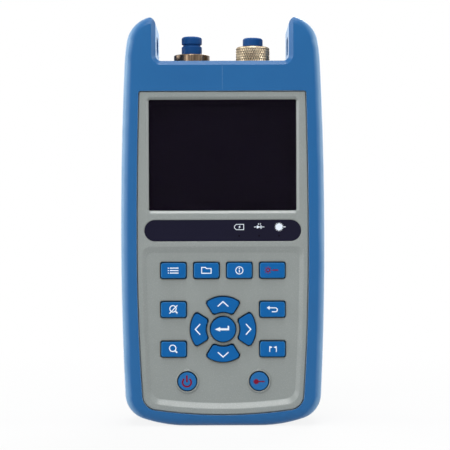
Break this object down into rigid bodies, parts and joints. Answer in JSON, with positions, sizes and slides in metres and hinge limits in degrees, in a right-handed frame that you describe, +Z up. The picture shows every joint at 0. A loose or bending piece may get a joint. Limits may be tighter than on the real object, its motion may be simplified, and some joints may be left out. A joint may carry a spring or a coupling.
{
  "type": "optical time domain reflectometer",
  "caption": "Handheld fibre tester in a blue rubber boot with two horns: display, indicator strip, keypad with direction pad, two capped optical ports, fold-out stand.",
  "frame": {"origin": "middle of the footprint, on the surface that the boot stands on", "axes": "+Z up towards the horns, +Y from the display to the back, +X to the right seen from the display side"},
  "size_m": [0.0994, 0.048, 0.1995],
  "materials": {
    "boot_rubber": "satin blue moulded rubber",
    "grey_plastic": "fine matt light grey moulding",
    "display_lens": "clear gloss acrylic",
    "display_module": "dark unlit display",
    "strip_film": "navy printed film",
    "clear_plastic": "clear acrylic",
    "led_plastic": "clear epoxy",
    "key_rubber": "blue silicone",
    "key_rubber_round": "lighter blue silicone",
    "spring_steel": "stamped domes",
    "circuit_board": "green solder mask",
    "chip_plastic": "black epoxy",
    "tin_plate": "tinned sheet",
    "screw_steel": "dark zinc",
    "black_aluminium": "black anodised",
    "fibre_jacket": "yellow fibre jacket",
    "deck_plastic": "dark grey moulding",
    "nickel_metal": "nickel plated brass",
    "ferrule_ceramic": "white zirconia",
    "cap_rubber": "blue soft plastic",
    "battery_wrap": "black shrink wrap",
    "contact_brass": "bright contacts",
    "socket_steel": "nickel sheet",
    "stand_plastic": "dark grey moulding"
  },
  "bodies": {
    "instrument": {"protective_boot": "boot_rubber", "front_shell": "grey_plastic", "rear_shell": "grey_plastic", "display_lens": "display_lens", "lcd_module": "display_module", "indicator_strip": "strip_film", "light_pipes": "clear_plastic", "indicator_leds": "led_plastic", "keypad_mat": "key_rubber", "key_switches": "spring_steel", "main_board": "circuit_board", "board_chips": "chip_plastic", "otdr_module": "tin_plate", "laser_module": "black_aluminium", "otdr_pigtail": "fibre_jacket", "laser_pigtail": "fibre_jacket", "port_panel": "deck_plastic", "otdr_port_body": "nickel_metal", "otdr_sleeve": "ferrule_ceramic", "otdr_ferrule": "ferrule_ceramic", "laser_port_base": "nickel_metal", "battery_pack": "battery_wrap", "battery_contacts": "contact_brass", "battery_door": "grey_plastic", "side_board": "circuit_board", "usb_socket": "socket_steel", "dc_jack": "chip_plastic", "kickstand_pin": "screw_steel"},
    "kickstand": {"kickstand": "stand_plastic"},
    "port_cover": {"port_cover": "boot_rubber"},
    "otdr_cap": {"otdr_cap": "cap_rubber"},
    "laser_cap": {"laser_cap": "cap_rubber"},
    "laser_adaptor": {"laser_adaptor": "nickel_metal"},
    "laser_nut": {"laser_nut": "nickel_metal"},
    "key_menu": {"key_menu": "key_rubber"},
    "key_file": {"key_file": "key_rubber"},
    "key_info": {"key_info": "key_rubber"},
    "key_light": {"key_light": "key_rubber"},
    "key_zoom_out": {"key_zoom_out": "key_rubber"},
    "key_escape": {"key_escape": "key_rubber"},
    "key_zoom_in": {"key_zoom_in": "key_rubber"},
    "key_marker": {"key_marker": "key_rubber"},
    "key_up": {"key_up": "key_rubber"},
    "key_right": {"key_right": "key_rubber"},
    "key_down": {"key_down": "key_rubber"},
    "key_left": {"key_left": "key_rubber"},
    "key_enter": {"key_enter": "key_rubber"},
    "key_power": {"key_power": "key_rubber_round"},
    "key_laser": {"key_laser": "key_rubber_round"}
  },
  "joints": [
    {"name": "key_menu_press", "type": "slide", "parent": "instrument", "child": "key_menu", "axis": [0, 1, 0], "range_m": [0, 0.0008], "stiffness_N_per_m": 400, "springref_m": -0.0005},
    {"name": "key_file_press", "type": "slide", "parent": "instrument", "child": "key_file", "axis": [0, 1, 0], "range_m": [0, 0.0008], "stiffness_N_per_m": 400, "springref_m": -0.0005},
    {"name": "key_info_press", "type": "slide", "parent": "instrument", "child": "key_info", "axis": [0, 1, 0], "range_m": [0, 0.0008], "stiffness_N_per_m": 400, "springref_m": -0.0005},
    {"name": "key_light_press", "type": "slide", "parent": "instrument", "child": "key_light", "axis": [0, 1, 0], "range_m": [0, 0.0008], "stiffness_N_per_m": 400, "springref_m": -0.0005},
    {"name": "key_zoom_out_press", "type": "slide", "parent": "instrument", "child": "key_zoom_out", "axis": [0, 1, 0], "range_m": [0, 0.0008], "stiffness_N_per_m": 400, "springref_m": -0.0005},
    {"name": "key_escape_press", "type": "slide", "parent": "instrument", "child": "key_escape", "axis": [0, 1, 0], "range_m": [0, 0.0008], "stiffness_N_per_m": 400, "springref_m": -0.0005},
    {"name": "key_zoom_in_press", "type": "slide", "parent": "instrument", "child": "key_zoom_in", "axis": [0, 1, 0], "range_m": [0, 0.0008], "stiffness_N_per_m": 400, "springref_m": -0.0005},
    {"name": "key_marker_press", "type": "slide", "parent": "instrument", "child": "key_marker", "axis": [0, 1, 0], "range_m": [0, 0.0008], "stiffness_N_per_m": 400, "springref_m": -0.0005},
    {"name": "key_up_press", "type": "slide", "parent": "instrument", "child": "key_up", "axis": [0, 1, 0], "range_m": [0, 0.0008], "stiffness_N_per_m": 400, "springref_m": -0.0005},
    {"name": "key_right_press", "type": "slide", "parent": "instrument", "child": "key_right", "axis": [0, 1, 0], "range_m": [0, 0.0008], "stiffness_N_per_m": 400, "springref_m": -0.0005},
    {"name": "key_down_press", "type": "slide", "parent": "instrument", "child": "key_down", "axis": [0, 1, 0], "range_m": [0, 0.0008], "stiffness_N_per_m": 400, "springref_m": -0.0005},
    {"name": "key_left_press", "type": "slide", "parent": "instrument", "child": "key_left", "axis": [0, 1, 0], "range_m": [0, 0.0008], "stiffness_N_per_m": 400, "springref_m": -0.0005},
    {"name": "key_enter_press", "type": "slide", "parent": "instrument", "child": "key_enter", "axis": [0, 1, 0], "range_m": [0, 0.0008], "stiffness_N_per_m": 400, "springref_m": -0.0005},
    {"name": "key_power_press", "type": "slide", "parent": "instrument", "child": "key_power", "axis": [0, 1, 0], "range_m": [0, 0.0008], "stiffness_N_per_m": 400, "springref_m": -0.0005},
    {"name": "key_laser_press", "type": "slide", "parent": "instrument", "child": "key_laser", "axis": [0, 1, 0], "range_m": [0, 0.0008], "stiffness_N_per_m": 400, "springref_m": -0.0005},
    {"name": "kickstand_hinge", "type": "hinge", "parent": "instrument", "child": "kickstand", "pos_m": [0, 0.0218, 0.148], "axis": [1, 0, 0], "range_deg": [0, 60]},
    {"name": "port_cover_hinge", "type": "hinge", "parent": "instrument", "child": "port_cover", "pos_m": [0.04835, 0.00815, 0.1108], "axis": [0, 0, 1], "range_deg": [0, 90]},
    {"name": "otdr_cap_pull", "type": "slide", "parent": "instrument", "child": "otdr_cap", "axis": [0, 0, 1], "range_m": [0, 0.02]},
    {"name": "laser_nut_turn", "type": "hinge", "parent": "laser_adaptor", "child": "laser_nut", "pos_m": [0.01525, 0, 0.182], "axis": [0, 0, 1], "range_deg": [0, 1440]},
    {"name": "laser_adaptor_lift", "type": "slide", "parent": "instrument", "child": "laser_adaptor", "axis": [0, 0, 1], "range_m": [0, 0.003]},
    {"name": "laser_cap_pull", "type": "slide", "parent": "laser_adaptor", "child": "laser_cap", "axis": [0, 0, 1], "range_m": [0, 0.02]}
  ],
  "couplings": [
    {"joint": "laser_adaptor_lift", "follows": "laser_nut_turn", "m_per_rad": 0.00011937}
  ]
}
